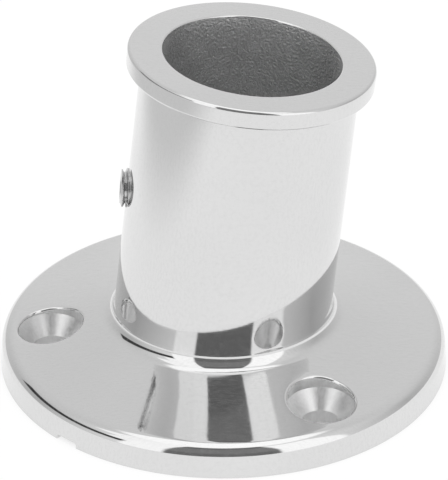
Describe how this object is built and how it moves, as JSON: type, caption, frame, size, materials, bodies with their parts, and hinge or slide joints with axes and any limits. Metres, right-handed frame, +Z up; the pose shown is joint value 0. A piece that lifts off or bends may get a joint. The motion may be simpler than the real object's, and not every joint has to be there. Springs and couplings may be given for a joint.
{
  "type": "tube clamp base flange",
  "caption": "Round dished deck flange with a leaning tube socket, a collared mouth, countersunk screw holes, a drain slot and a side grub screw that clamps the tube.",
  "frame": {"origin": "middle of the base's underside, on the deck plane", "axes": "+Z up from the deck; the socket leans towards +X and the grub screw is on the -X side"},
  "size_m": [0.07, 0.07, 0.0538],
  "materials": {
    "polished_steel": "mirror-polished stainless casting, rough as cast inside the bore and underneath",
    "screw_steel": "plain stainless set screw with a fine thread"
  },
  "bodies": {
    "root": {"flange_casting": "polished_steel", "grub_screw": "screw_steel"}
  },
  "joints": []
}
